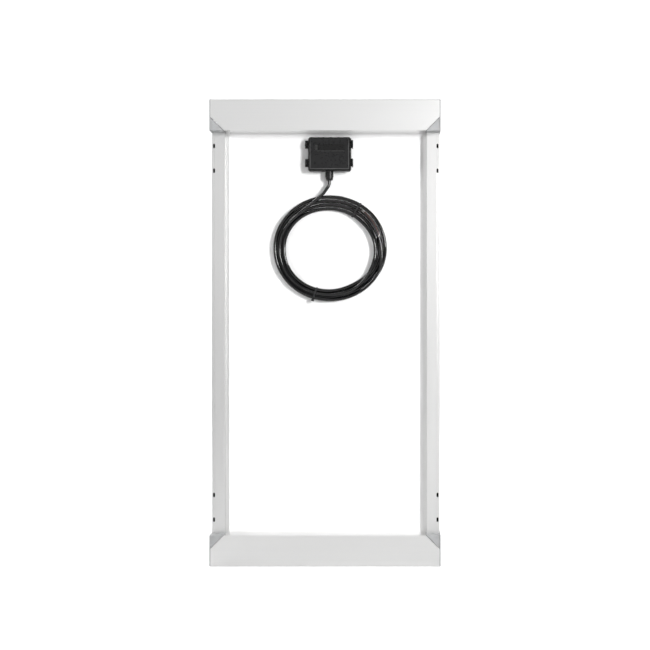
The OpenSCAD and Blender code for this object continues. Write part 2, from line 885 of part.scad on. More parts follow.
module gland_nut()
    color([0.12, 0.12, 0.12])
        difference() {
            union() {
                translate([gland_x, gland_y, 0])
                    rotate_extrude()
                        polygon(concat(
                            [[0, nut_top_z], [nut_d / 2 - 0.6, nut_top_z]],
                            [for (a = [0:15:75]) [
                                nut_end_d / 2 + (nut_d / 2 - 0.6 - nut_end_d / 2) * cos(a),
                                nut_dome_z - (nut_dome_z - nut_end_z) * sin(a)
                            ]],
                            [[nut_end_d / 2, nut_end_z], [0, nut_end_z]]
                        ));
                for (rib = [0:11])
                    translate([gland_x, gland_y, nut_dome_z])
                        rotate([0, 0, rib * 30])
                            translate([nut_d / 2 - 1.6, -1.1, 0])
                                cube([1.6, 2.2, nut_top_z - nut_dome_z - 1]);
            }
            translate([gland_x, gland_y, nut_end_z - over])
                cylinder(d = lead_d + cable_play, h = nut_dome_z - nut_end_z + 2 * over);
            translate([gland_x, gland_y, nut_dome_z + 1])
                cylinder(d = thread_d + nut_play, h = nut_top_z - nut_dome_z);
        }

// ---- Lead, coil and ties ----

module cable_lead()
    color([0.1, 0.1, 0.1]) tube(lead_route, lead_d, lead_sides);

// Places a ring section drawn as [radius, depth] around the coil's middle
module around_coil(from, sweep)
    translate([coil_x, 0, coil_z])
        rotate([90, 0, 0])
            rotate([0, 0, from])
                rotate_extrude(angle = sweep)
                    children();

module cable_coil()
    color([0.1, 0.1, 0.1])
        around_coil(0, 360)
            translate([coil_r - bundle_w / 2, -coil_back_y])
                square([bundle_w, coil_back_y - coil_top_y]);

module core(r, name)
    color(name)
        around_coil(free_end_angle, core_end_angle - free_end_angle)
            translate([r, -core_y])
                circle(d = core_d, $fn = 16);

module core_ferrules()
    color([0.8, 0.8, 0.82])
        for (r = core_rs)
            around_coil(core_end_angle, ferrule_angle)
                translate([r, -core_y])
                    circle(d = core_d * 0.7, $fn = 16);

// Nylon tie around the bundle; head is the span of its locking head away from the middle, and in depth
module cable_tie(angle, head) {
    gap = 0.1;
    inner = [coil_r - bundle_w / 2 - gap, coil_r + bundle_w / 2 + gap];
    depth = [coil_top_y - gap, coil_back_y];
    color([0.1, 0.1, 0.1])
        translate([coil_x, 0, coil_z])
            rotate([0, -angle, 0])
                difference() {
                    union() {
                        span(
                            [inner[0] - tie_t, inner[1] + tie_t],
                            [depth[0] - tie_t, depth[1] + tie_t],
                            [-tie_w / 2, tie_w / 2]
                        );
                        span(head[0], head[1], [-3, 3]);
                    }
                    span(inner, depth, [-tie_w, tie_w]);
                }
}

end_rail();  // end_rail_top
mirror([0, 0, 1]) end_rail();  // end_rail_bottom
mirror([1, 0, 0]) side_rail();  // side_rail_left
side_rail();  // side_rail_right
at_corner(-1, 1) corner_cap();  // corner_cap_top_left
at_corner(1, 1) corner_cap();  // corner_cap_top_right
at_corner(-1, -1) corner_cap();  // corner_cap_bottom_left
at_corner(1, -1) corner_cap();  // corner_cap_bottom_right
at_corner(-1, 1) corner_key();  // corner_key_top_left
at_corner(1, 1) corner_key();  // corner_key_top_right
at_corner(-1, -1) corner_key();  // corner_key_bottom_left
at_corner(1, -1) corner_key();  // corner_key_bottom_right
cap_screws();
front_glass();
front_encapsulant();
solar_cells();
cell_ribbons();
string_busbars();
rear_encapsulant();
backsheet();
edge_seal();
adhesive_pad();
junction_box_base();
junction_box_lid();
lid_gasket();
hinge_pins();
terminal_block();
terminal_clamps();
terminal_screws();
bypass_diodes();
inner_wires();
gland_body();
gland_locknut();
gland_seal();
gland_ring();
gland_nut();
cable_lead();
cable_coil();
core(core_rs[1], "firebrick");  // core_red
core(core_rs[0], "black");  // core_black
core_ferrules();
cable_tie(tie_angles[0], front_head);  // cable_tie_upper
cable_tie(tie_angles[1], outer_head);  // cable_tie_lower
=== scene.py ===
import math

import bmesh
import bpy
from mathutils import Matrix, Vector


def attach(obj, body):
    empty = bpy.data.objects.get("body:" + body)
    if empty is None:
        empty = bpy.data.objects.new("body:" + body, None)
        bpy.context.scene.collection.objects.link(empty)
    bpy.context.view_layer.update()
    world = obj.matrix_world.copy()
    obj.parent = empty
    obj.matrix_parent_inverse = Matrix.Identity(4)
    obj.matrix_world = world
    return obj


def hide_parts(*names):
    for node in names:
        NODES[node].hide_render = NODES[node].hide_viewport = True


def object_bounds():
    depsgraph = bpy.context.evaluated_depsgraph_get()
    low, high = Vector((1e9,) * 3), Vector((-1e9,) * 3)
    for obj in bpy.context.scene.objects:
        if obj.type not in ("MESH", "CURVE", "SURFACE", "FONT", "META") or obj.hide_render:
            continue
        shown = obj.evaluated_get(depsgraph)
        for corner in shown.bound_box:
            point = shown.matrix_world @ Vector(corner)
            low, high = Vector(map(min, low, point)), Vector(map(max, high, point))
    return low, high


MM = 0.001
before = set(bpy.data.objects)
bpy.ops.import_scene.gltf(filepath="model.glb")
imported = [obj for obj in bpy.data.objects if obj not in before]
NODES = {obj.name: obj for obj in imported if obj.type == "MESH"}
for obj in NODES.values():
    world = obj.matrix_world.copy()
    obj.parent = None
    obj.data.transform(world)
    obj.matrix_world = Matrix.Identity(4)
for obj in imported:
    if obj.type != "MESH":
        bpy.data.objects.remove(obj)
cad_low, cad_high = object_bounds()
SCENE = bpy.context.scene

# ---------------------------------------------------------------- camera
# It looks straight at the back from a little to the right of the middle, and the shift frames the panel
camera_data = bpy.data.cameras.new("camera")
camera_data.sensor_width = 36
camera_data.lens = 56.34
camera_data.shift_x = -0.1123
camera = bpy.data.objects.new("camera", camera_data)
camera.location = (0.1608, -2.240, 0.0174)
camera.rotation_euler = (math.pi / 2, 0, 0)
SCENE.collection.objects.link(camera)
SCENE.camera = camera


# ---------------------------------------------------------------- geometry helpers
LINE_STEPS = 16  # straight steps that stand for each stretch of a smooth line


def link(name, data):
    """An object in the scene that shows the data."""
    obj = bpy.data.objects.new(name, data)
    SCENE.collection.objects.link(obj)
    return obj


def ease(t):
    """0 to 1 with a gentle start and stop."""
    t = min(max(t, 0.0), 1.0)
    return t * t * (3 - 2 * t)


def mixed(first, second, t):
    """Numbers that go from the first ones to the second ones as t goes from 0 to 1."""
    return tuple(a + (b - a) * ease(t) for a, b in zip(first, second))


def between(keys, at):
    """Values of a list of (position, value, ...) rows at one position, eased from row to row."""
    for before, after in zip(keys, keys[1:]):
        if at <= after[0]:
            return mixed(before[1:], after[1:], (at - before[0]) / (after[0] - before[0]))
    return keys[-1][1:]


def through(points, step):
    """A smooth line through points, as points one step apart."""
    fine = []
    ends = [2 * points[0] - points[1], *points, 2 * points[-1] - points[-2]]
    for p0, p1, p2, p3 in zip(ends, ends[1:], ends[2:], ends[3:]):
        slope = p2 - p0
        bend = 2 * p0 - 5 * p1 + 4 * p2 - p3
        twist = 3 * p1 - p0 - 3 * p2 + p3
        for t in (i / LINE_STEPS for i in range(LINE_STEPS)):
            fine.append(0.5 * (2 * p1 + slope * t + bend * t * t + twist * t * t * t))
    fine.append(points[-1])
    total = sum((b - a).length for a, b in zip(fine, fine[1:]))
    count = round(total / step)
    wanted, gone, even = total / count, 0.0, [fine[0]]
    for a, b in zip(fine, fine[1:]):
        span = (b - a).length
        while len(even) < count and gone + span >= wanted * len(even):
            even.append(a.lerp(b, (wanted * len(even) - gone) / span))
        gone += span
    even.append(fine[-1])
    return even


def tube(name, points, diameter, fineness=4):
    """A round tube with closed ends along points; a higher fineness makes its section rounder."""
    curve = bpy.data.curves.new(name, "CURVE")
    curve.dimensions = "3D"
    curve.bevel_depth = diameter / 2
    curve.bevel_resolution = fineness
    curve.use_fill_caps = True
    spline = curve.splines.new("POLY")
    spline.points.add(len(points) - 1)
    for slot, point in zip(spline.points, points):
        slot.co = (*point, 1)
    spline.use_smooth = True
    return link(name, curve)


def mesh_object(name, build, smooth_angle=35):
    """A mesh made by build(bm), with shading split at edges sharper than smooth_angle."""
    mesh = bpy.data.meshes.new(name)
    bm = bmesh.new()
    build(bm)
    bmesh.ops.recalc_face_normals(bm, faces=bm.faces[:])
    for face in bm.faces:
        face.smooth = True
    for edge in bm.edges:
        sharp = len(edge.link_faces) != 2
        edge.smooth = not sharp and edge.calc_face_angle(0) < math.radians(smooth_angle)
    bm.to_mesh(mesh)
    bm.free()
    return link(name, mesh)


# ---------------------------------------------------------------- the lead and its coil
LEAD_D = 7.5 * MM
COIL_CENTRE = Vector((0.0098, 0, 0.1886))
COIL_OVAL = 4.0  # how much wider than tall the coil lies, as a radius
SHEET_Y = 39.2  # depth of a strand that lies on the sheet, in mm
START, FREE_END = 183, 1813  # winding angles where the lead joins the coil and where it is cut, in degrees
SHIFT, SHIFTED = 290, 345  # where each strand moves out one lane, in degrees
LAST_SHIFT = SHIFT + 4 * 360  # where the outermost strand leaves its lane
ON_TOP = 35  # how far it winds while it climbs on the others, in degrees
END_PLACE = (107.4, 32.6)  # radius and depth of the cut end, in mm


def on_coil(angle, radius, y):
    """The point at a winding angle in degrees, a lane's radius and a depth, the last two in mm."""
    turn = math.radians(angle)
    r = (radius + COIL_OVAL * math.cos(2 * turn)) * MM
    return COIL_CENTRE + Vector((r * math.cos(turn), y * MM, r * math.sin(turn)))


# Angle, how far the inner and outer strands ride up, and the space between the middles of the two flat ones
SECTION = [
    (0, 4.6, 9.2), (40, 4.2, 9.0), (70, 0.6, 8.7), (122, 0.4, 8.6), (150, 5.0, 11.0),
    (262, 4.8, 9.5), (286, 1.0, 8.0), (345, 1.0, 8.0), (360, 4.6, 9.2),
]


def lanes(angle):
    """(radius, y) of the bundle's strands at an angle, from inside out, and of the hollow along its middle.

    The inner and outer strands ride up on the two between them, which lie on the sheet.
    """
    turn = math.radians(angle)
    # The inner and outer strands' rings are each a little off the coil's centre
    inner = 95.9 - 4.0 * math.cos(turn) - 2.8 * math.sin(turn)
    outer = 119.2 - 1.0 * math.cos(turn) + 0.5 * math.sin(turn)
    lift, gap = between(SECTION, angle % 360)
    across = LEAD_D / MM
    reach = max(math.sqrt(across**2 - lift**2), (outer - inner - gap) / 2)
    gap = outer - inner - 2 * reach
    rise = math.sqrt(max(across**2 - (gap / 2) ** 2, 0))
    strands = [
        (inner, SHEET_Y - lift), (inner + reach, SHEET_Y), (outer - reach, SHEET_Y), (outer, SHEET_Y - lift),
    ]
    return strands, (inner + reach + gap / 2, SHEET_Y - rise)


def strand(s):
    """(radius, y) of the lead at a winding angle past its crossing of the coil."""
    places, hollow = lanes(s)
    above = (places[1][0] - 3.4, 32.4)
    if s < SHIFT:
        return hollow[0] - ease((s - 190) / 60), hollow[1]
    if s < SHIFTED:
        return mixed(hollow, (above[0], 31.5), (s - SHIFT) / (SHIFTED - SHIFT))
    if s < SHIFTED + 60:
        return mixed(above, places[0], (s - SHIFTED) / 60)
    if s < SHIFT + 360:
        return places[0]
    if s < LAST_SHIFT:
        lap, past = divmod(s - SHIFT - 360, 360)
        return mixed(places[lap], places[lap + 1], past / (SHIFTED - SHIFT))
    top = (places[3][0] - 0.5, places[3][1] - LEAD_D / MM - 0.1)
    if s < LAST_SHIFT + ON_TOP:
        return mixed(places[3], top, (s - LAST_SHIFT) / ON_TOP)
    return mixed(top, END_PLACE, (s - LAST_SHIFT - ON_TOP) / (FREE_END - LAST_SHIFT - ON_TOP))


# Points of the lead in mm, down out of the gland and then over the coil to where it winds
lead_route = [
    (7.5, 33.5, 369), (7.5, 33.5, 352), (7.5, 33.5, 336), (6.4, 33.2, 331), (4, 32.6, 326),
    (0.6, 32, 320.5), (-3, 31.7, 315.5), (-6, 31.6, 311.5),
]
over_the_coil = [
    (-13.5, 31.4, 304.4), (-22.5, 31.3, 296.8), (-34, 31.3, 287.2), (-47, 31.6, 277),
    (-60.5, 32.2, 266), (-73, 32.6, 254.5), (-84, 32.6, 243), (-92.4, 32.6, 231.5),
    (-98, 32.8, 219), (-100.8, 33.2, 206),
]
knots = [Vector(p) * MM for p in lead_route + over_the_coil]
knots += [on_coil(s, *strand(s)) for s in range(START, FREE_END + 1, 10)]
lead_path = through(knots, 5 * MM)
lead = tube("lead", lead_path, LEAD_D)

# The bare cores: winding angle in degrees, then radius and depth in mm, halfway between the two
CORE_ROUTE = [(16, 111.2, 32.2), (20, 110.9, 32.6), (26, 110.6, 33.4), (34, 110.6, 33.9), (47, 110.6, 34.2)]
CORE_D, CORE_OFF = 2.4 * MM, 1.25  # CORE_OFF is how far each lies from the line between them, in mm
FERRULE_D = 1.7 * MM
FERRULE_START, FERRULE_STEP, FERRULE_POINTS = -1.5, 1.7, 6  # from inside the core's end and on past it, in mm
# The fibre filler at the cut: along the lead, away from the coil's middle and in depth, in mm
FILLER_ROUTE = [(-2, 0, 0), (1.5, 0.2, -0.9), (3.5, 0.8, -2.2), (4.8, 1.6, -2.8)]
FILLER_D = 2.0 * MM

cut = lead_path[-1]
core_paths = {}
for name, side in (("core_black", -1), ("core_red", 1)):
    back = (lead_path[-3] - cut).normalized()
    points = [cut + back * 6 * MM, cut - back * 1 * MM]
    for s, radius, y in CORE_ROUTE:
        angle = math.radians(s)
        r = (radius + side * CORE_OFF * ease((s - 10) / 8)) * MM
        points.append(COIL_CENTRE + Vector((r * math.cos(angle), y * MM, r * math.sin(angle))))
    core_paths[name] = through(points, 2 * MM)
cores = {name: tube(name + "_end", path, CORE_D, 3) for name, path in core_paths.items()}
ferrules = []
for name, path in core_paths.items():
    onward = (path[-1] - path[-3]).normalized()
    along = [FERRULE_START + FERRULE_STEP * i for i in range(FERRULE_POINTS)]
    tip = [path[-1] + onward * (a * MM) for a in along]
    ferrules.append(tube(name.replace("core", "ferrule"), tip, FERRULE_D, 3))
onward = (cut - lead_path[-3]).normalized()
outward = (cut - COIL_CENTRE).normalized()
filler_knots = [cut + (onward * a + outward * b + Vector((0, c, 0))) * MM for a, b, c in FILLER_ROUTE]
filler = tube("filler_end", through(filler_knots, 0.8 * MM), FILLER_D, 2)


# ---------------------------------------------------------------- ties round the coil
TIE_ANGLES = {"upper": 56, "lower": 251}
TIE_T, TIE_W = 1.1 * MM, 3.6 * MM
TIE_SLIM = 0.35 * MM  # how much narrower the strap's outer face is, on each side
# The two blocks of each head: low corner, high corner and rounding in mm, as (outward, y, along the strands).
# The front head counts from the strap's foremost place, and the outer one from its outermost place at y 0.
FRONT_HEAD = [((-2.3, -3.2, -2.7), (2.3, 0.3, 2.7), 0.6), ((2.0, -2.2, -1.7), (3.6, -1.0, 1.7), 0.2)]
OUTER_HEAD = [((-0.2, 30.3, -2.7), (3.7, 35.3, 2.7), 0.6), ((1.0, 28.9, -1.7), (2.2, 30.6, 1.7), 0.2)]


def strands_at(angle, paths):
    """Where lines cross the plane of a winding angle, as (distance from the coil's centre, y)."""
    along = Vector((math.cos(math.radians(angle)), 0, math.sin(math.radians(angle))))
    across = Vector((-along.z, 0, along.x))
    found = []
    for path in paths:
        for a, b in zip(path, path[1:]):
            u, v = (a - COIL_CENTRE).dot(across), (b - COIL_CENTRE).dot(across)
            if u * v <= 0 and u != v and (a - COIL_CENTRE).dot(along) > 0:
                p = a.lerp(b, u / (u - v))
                found.append(((p - COIL_CENTRE).dot(along), p.y))
    return found, along, across


def hull(points):
    """The points on the outline of a cloud of (x, y, tag) points, in order."""
    points = sorted(points)

    def half(run):
        kept = []
        for p in run:
            while len(kept) > 1 and (
                (kept[-1][0] - kept[-2][0]) * (p[1] - kept[-2][1])
                - (kept[-1][1] - kept[-2][1]) * (p[0] - kept[-2][0])
            ) <= 0:
                kept.pop()
            kept.append(p)
        return kept[:-1]

    return half(points) + half(points[::-1])


def tie(name, angle, paths, in_front):
    """A cable tie drawn tight round the strands at one angle of the coil, its head in front or outside."""
    found, along, across = strands_at(angle, paths)
    near = LEAD_D / 2 + 0.03 * MM
    ring = hull(
        [
            (r + near * math.cos(a), y + near * math.sin(a), (r, y, a))
            for r, y in found
            for a in (math.tau * i / 24 for i in range(24))
        ]
    )

    def place(r, y, w):
        return COIL_CENTRE + along * r + across * w + Vector((0, y, 0))

    def build(bm):
        rows = []
        for inner_r, inner_y, (_, _, a) in ring:
            inner = (inner_r, inner_y)
            outer = (inner_r + TIE_T * math.cos(a), inner_y + TIE_T * math.sin(a))
            half, slim = TIE_W / 2, TIE_W / 2 - TIE_SLIM
            corners = ((*inner, -half), (*inner, half), (*outer, slim), (*outer, -slim))
            rows.append([bm.verts.new(place(*corner)) for corner in corners])
        for now, then in zip(rows, rows[1:] + rows[:1]):
            for i in range(4):
                bm.faces.new((now[i], now[(i + 1) % 4], then[(i + 1) % 4], then[i]))
        if in_front:
            front_y, front_r = min((y, r) for r, y, _ in ring)
            base = (front_r, front_y - TIE_T)
        else:
            base = (max(r for r, _, _ in ring) + TIE_T, 0)
        for low, high, bevel in FRONT_HEAD if in_front else OUTER_HEAD:
            ends = [(base[0] + r * MM, base[1] + y * MM, w * MM) for r, y, w in (low, high)]
            block(bm, place, *ends, bevel * MM)

    return mesh_object(name, build)


def block(bm, place, low, high, bevel):
    """A box with rounded edges, its corners put in space by place."""
    made = bmesh.ops.create_cube(bm, size=1)["verts"]
    for v in made:
        v.co = place(*[a + (b - a) * (c + 0.5) for a, b, c in zip(low, high, v.co)])
    edges = list({e for v in made for e in v.link_edges})
    bmesh.ops.bevel(bm, geom=edges, offset=bevel, segments=3, profile=0.5, affect="EDGES")


all_paths = [lead_path, *core_paths.values()]
ties = {place: tie("tie_" + place, angle, all_paths, place == "upper") for place, angle in TIE_ANGLES.items()}


# ---------------------------------------------------------------- materials
def nodes_of(name):
    """A new material, its node tree, its shader and the place on the object that its textures use."""
    mat = bpy.data.materials.new(name)
    mat.use_nodes = True
    tree = mat.node_tree
    shader = tree.nodes["Principled BSDF"]
    place = tree.nodes.new("ShaderNodeTexCoord").outputs["Object"]
    return mat, tree, shader, place


def noise(tree, place, size, detail=3.0, stretch=(1, 1, 1)):
    """Noise with features about size metres across, drawn out along the axes where stretch is above 1."""
    mapping = tree.nodes.new("ShaderNodeMapping")
    mapping.inputs["Scale"].default_value = [1 / (size * s) for s in stretch]
    tree.links.new(place, mapping.inputs["Vector"])
    made = tree.nodes.new("ShaderNodeTexNoise")
    made.inputs["Scale"].default_value = 1.0
    made.inputs["Detail"].default_value = detail
    tree.links.new(mapping.outputs["Vector"], made.inputs["Vector"])
    return made.outputs["Fac"]


def spread(tree, value, low, high, start=0.3, end=0.7, course="LINEAR"):
    """Values from start to end turned into values from low to high."""
    made = tree.nodes.new("ShaderNodeMapRange")
    made.interpolation_type = course
    for key, number in zip(("From Min", "From Max", "To Min", "To Max"), (start, end, low, high)):
        made.inputs[key].default_value = number
    tree.links.new(value, made.inputs["Value"])
    return made.outputs["Result"]


def calc(tree, operation, *values):
    """One step of arithmetic on numbers or sockets."""
    made = tree.nodes.new("ShaderNodeMath")
    made.operation = operation
    for socket, value in zip(made.inputs, values):
        if isinstance(value, bpy.types.NodeSocket):
            tree.links.new(value, socket)
        else:
            socket.default_value = value
    return made.outputs[0]


def within(tree, value, low, high):
    """1 where a value lies between two limits and 0 elsewhere."""
    above = calc(tree, "GREATER_THAN", value, low)
    return calc(tree, "MULTIPLY", above, calc(tree, "LESS_THAN", value, high))


def split(tree, place):
    """The x, y and z of a place."""
    parts = tree.nodes.new("ShaderNodeSeparateXYZ")
    tree.links.new(place, parts.inputs[0])
    return parts.outputs


def blend(tree, factor, first, second):
    """Mixes two colours, each a colour or a socket."""
    made = tree.nodes.new("ShaderNodeMix")
    made.data_type = "RGBA"
    tree.links.new(factor, made.inputs[0])
    for socket, colour in ((made.inputs[6], first), (made.inputs[7], second)):
        if isinstance(colour, bpy.types.NodeSocket):
            tree.links.new(colour, socket)
        else:
            socket.default_value = (*colour, 1)
    return made.outputs[2]


def surface(
    name, colour, rough, metallic=0.0, vary=0.08, patch=0.03, grain=0.0, grain_size=0.001,
    stretch=(1, 1, 1), rough_vary=0.06, specular=0.5, graze=1.0, tint=None, marks=None,
):
    """A plain finish with uneven colour, uneven gloss and a fine relief.

    Where graze is below 1 it is glossier the flatter it is looked along, and marks(tree, place, tone) adds to
    its colour.
    """
    mat, tree, shader, place = nodes_of(name)
    uneven = noise(tree, place, patch, 4.0, stretch)
    dark, light = [[min(c * k, 1.0) for c in colour] for k in (1 - vary, 1 + vary)]
    tone = blend(tree, spread(tree, uneven, 0, 1), dark, light)
    if marks:
        tone = marks(tree, place, tone)
    tree.links.new(tone, shader.inputs["Base Color"])
    fine = noise(tree, place, patch * 0.37, 5.0, stretch)
    gloss = spread(tree, fine, rough - rough_vary, rough + rough_vary)
    if graze != 1.0:
        slant = tree.nodes.new("ShaderNodeLayerWeight")
        gloss = calc(tree, "MULTIPLY", gloss, spread(tree, slant.outputs["Facing"], 1.0, graze, 0.3, 0.9))
    tree.links.new(gloss, shader.inputs["Roughness"])
    shader.inputs["Metallic"].default_value = metallic
    if tint:
        shader.inputs["Specular Tint"].default_value = (*tint, 1)
    shader.inputs["Specular IOR Level"].default_value = specular
    if grain:
        bump = tree.nodes.new("ShaderNodeBump")
        bump.inputs["Strength"].default_value = grain
        bump.inputs["Distance"].default_value = grain_size * 0.25
        tree.links.new(noise(tree, place, grain_size, 2.0, stretch), bump.inputs["Height"])
        tree.links.new(bump.outputs["Normal"], shader.inputs["Normal"])
    return mat


# Where shade is painted inside the side rails: their chamber behind the slots
CHAMBER_X, CHAMBER_Y = (0.2255, 0.2522), (0.0262, 0.0361)  # inside the side rails, behind the slots
LID_X, LID_Z, LID_WIDE, LID_TALL = 0.0084, 0.3979, 0.0436, 0.0339  # middle and half sizes of its raised face
LID_BACK = 0.0216  # the lid's outside lies at a smaller y than this, and its inside at a larger one
# The lid's window (painted shade on its floor), the block at its left end and the line under it (a painted
# highlight): their x, z and grey
WINDOW_MARKS = [
    ((-0.0246, 0.0419), (0.4049, 0.4194), 0.010),
    ((-0.0231, -0.0186), (0.4054, 0.4179), 0.040),
    ((-0.0186, 0.0419), (0.4034, 0.4052), 0.045),
]


def chamber_painted_shade(tree, place, tone):
    """Painted shade: the side rails' chamber behind the slots is turned dark."""
    x, y, _ = split(tree, place)
    out = within(tree, calc(tree, "ABSOLUTE", x), *CHAMBER_X)
    return blend(tree, calc(tree, "MULTIPLY", out, within(tree, y, *CHAMBER_Y)), tone, (0.02, 0.02, 0.02))


def past_edge(tree, value, middle, half):
    """How far a value lies past the edges of a band."""
    from_middle = calc(tree, "ABSOLUTE", calc(tree, "SUBTRACT", value, middle))
    return calc(tree, "SUBTRACT", from_middle, half)


def lid_marks(tree, place, tone):
    """The lid's raised face, with a painted highlight along its edge except along the top, and painted shade
    on the slopes around it.
    """
    x, y, z = split(tree, place)
    past = calc(tree, "MAXIMUM", past_edge(tree, x, LID_X, LID_WIDE), past_edge(tree, z, LID_Z, LID_TALL))
    near = spread(tree, calc(tree, "ABSOLUTE", calc(tree, "ADD", past, 0.0006)), 1.0, 0.0, 0.0003, 0.0010)
    low = spread(tree, z, 1.0, 0.15, LID_Z + 0.6 * LID_TALL, LID_Z + LID_TALL)
    outside = calc(tree, "LESS_THAN", y, LID_BACK)
    painted_edge_highlight = calc(tree, "MULTIPLY", calc(tree, "MULTIPLY", near, low), outside)
    # Painted shade: the slopes around the raised face are turned near black
    tone = blend(tree, spread(tree, past, 0, 1, 0.0002, 0.0006), tone, (0.002, 0.002, 0.002))
    # Painted highlight: a lighter band along the raised face's edge, fading out towards the top
    tone = blend(tree, painted_edge_highlight, tone, (0.10, 0.10, 0.10))
    # Painted shade on the window's floor and a painted highlight on the line under it; the block at the
    # window's left end is a lighter grey
    for x_range, z_range, grey in WINDOW_MARKS:
        here = calc(tree, "MULTIPLY", within(tree, x, *x_range), within(tree, z, *z_range))
        tone = blend(tree, calc(tree, "MULTIPLY", here, outside), tone, (grey,) * 3)
    return tone


FINGER_PITCH, FINGER_SHARE = 0.0016, 0.07  # distance between the cells' silver lines, and their share of it


def silicon(name):
    """Dark cells with fine silver fingers across them and a blue cast that drifts from cell to cell."""
    mat, tree, shader, place = nodes_of(name)
    _, _, z = split(tree, place)
    saw = calc(tree, "FRACT", calc(tree, "MULTIPLY", z, 1 / FINGER_PITCH))
    finger = calc(tree, "LESS_THAN", saw, FINGER_SHARE)
    cast = spread(tree, noise(tree, place, 0.09, 2.0), 0, 1)
    body = blend(tree, cast, (0.006, 0.010, 0.026), (0.010, 0.018, 0.046))
    tree.links.new(blend(tree, finger, body, (0.30, 0.31, 0.33)), shader.inputs["Base Color"])
    tree.links.new(spread(tree, noise(tree, place, 0.004), 0.24, 0.36), shader.inputs["Roughness"])
    shader.inputs["Coat Weight"].default_value = 0.4
    return mat


def clear(name, tint, rough, share, haze):
    """A clear layer that shows what is behind it, mirrors by angle and is faintly milky above 0 haze."""
    mat, tree, shader, place = nodes_of(name)
    tree.nodes.remove(shader)
    out = tree.nodes["Material Output"]
    open_side = tree.nodes.new("ShaderNodeBsdfTransparent")
    open_side.inputs["Color"].default_value = (*tint, 1)
    mirror = tree.nodes.new("ShaderNodeBsdfPrincipled")
    mirror.inputs["Base Color"].default_value = (*[0.5 * t for t in tint], 1)
    mirror.inputs["Specular IOR Level"].default_value = 0.5
    tree.links.new(
        spread(tree, noise(tree, place, 0.02), rough * 0.8, rough * 1.2), mirror.inputs["Roughness"]
    )
    facing = tree.nodes.new("ShaderNodeLayerWeight")
    facing.inputs["Blend"].default_value = 0.25
    amount = spread(tree, facing.outputs["Fresnel"], haze, share, 0.0, 1.0)
    mix = tree.nodes.new("ShaderNodeMixShader")
    tree.links.new(amount, mix.inputs[0])
    tree.links.new(open_side.outputs[0], mix.inputs[1])
    tree.links.new(mirror.outputs[0], mix.inputs[2])
    tree.links.new(mix.outputs[0], out.inputs["Surface"])
    return mat


ALONG_X, ALONG_Z = (400, 1, 1), (1, 1, 400)
extruded = dict(
    rough=0.35, metallic=1.0, tint=(0.8, 0.8, 0.8), vary=0.01, patch=0.002, rough_vary=0.02, grain_size=0.0007
)
moulded = dict(rough=0.30, vary=0.12, patch=0.012, grain=0.12, grain_size=0.0014)
FINISH = {
    # The end rails' aluminium is the side rails' metal painted lighter, a painted brightening for the light
    # that falls on them
    "aluminium_x": surface(
        "aluminium_x", (0.91, 0.91, 0.905), graze=0.3, grain=0.04, stretch=ALONG_X, **extruded
    ),
    # The side rails' finish paints shade into their chamber behind the slots
    "aluminium_z": surface(
        "aluminium_z", (0.86, 0.86, 0.855), graze=0.6, grain=0.02, stretch=ALONG_Z, marks=chamber_painted_shade,
        **extruded,
    ),
    "cap": surface("cap_grey", (0.36, 0.365, 0.37), 0.5, vary=0.05, patch=0.01, grain=0.3, grain_size=0.0012),
    "key": surface("key_cast", (0.55, 0.56, 0.57), 0.5, 0.9, patch=0.01, grain=0.4, grain_size=0.0015),
    "steel": surface(
        "screw_steel", (0.62, 0.62, 0.61), 0.28, 1.0, patch=0.004, grain=0.15, grain_size=0.0006
    ),
    "glass": clear("front_glass", (0.94, 0.97, 0.955), 0.10, 1.0, 0.02),
    "eva": clear("encapsulant", (0.985, 0.985, 0.975), 0.3, 0.25, 0.02),
    "silicon": silicon("cell_silicon"),
    "ribbon": surface("ribbon_tinned", (0.66, 0.66, 0.64), 0.34, 1.0, patch=0.01, stretch=ALONG_Z),
    "backsheet": surface(
        "backsheet_white", (0.90, 0.90, 0.90), 0.55, vary=0.012, patch=0.09, grain=0.08, grain_size=0.004
    ),
    "seal": surface("seal_rubber", (0.05, 0.05, 0.052), 0.6, grain=0.3, grain_size=0.001),
    "pad": surface("pad_adhesive", (0.55, 0.55, 0.54), 0.5, grain=0.3, grain_size=0.002),
    "box": surface("box_plastic", (0.006, 0.006, 0.0065), specular=0.35, **moulded),
    "lid": surface("lid_plastic", (0.014, 0.014, 0.0145), specular=0.2, marks=lid_marks, **moulded),
    "gasket": surface("gasket_rubber", (0.03, 0.03, 0.03), 0.65, grain=0.3, grain_size=0.001),
    "terminal": surface("terminal_plastic", (0.55, 0.56, 0.50), 0.45, grain=0.2, grain_size=0.001),
    "contact": surface("terminal_metal", (0.75, 0.72, 0.62), 0.3, 1.0, patch=0.003),
    "diode": surface("diode_body", (0.015, 0.015, 0.016), 0.35, grain=0.2, grain_size=0.0006),
    "sheath": surface(
        "cable_sheath", (0.004, 0.004, 0.0043), 0.14, specular=0.55, vary=0.25, patch=0.02, rough_vary=0.02,
        grain=0.04, grain_size=0.004,
    ),
    "red": surface("core_red", (0.060, 0.024, 0.022), 0.45, patch=0.004, grain=0.2, grain_size=0.0008),
    "black": surface("core_black", (0.015, 0.015, 0.016), 0.38, patch=0.004, grain=0.2, grain_size=0.0008),
    "ferrule": surface(
        "ferrule_metal", (0.42, 0.41, 0.40), 0.42, 1.0, patch=0.002, grain=0.2, grain_size=0.0005
    ),
    "filler": surface("filler_fibre", (0.80, 0.78, 0.74), 0.8, patch=0.001, grain=0.4, grain_size=0.0004),
    "nylon": surface("tie_nylon", (0.012, 0.012, 0.013), 0.4, patch=0.004, grain=0.2, grain_size=0.0008),
}


def paint(obj, finish):
    """Gives an object one of the finishes in place of what it had."""
    obj.data.materials.clear()
    obj.data.materials.append(FINISH[finish])


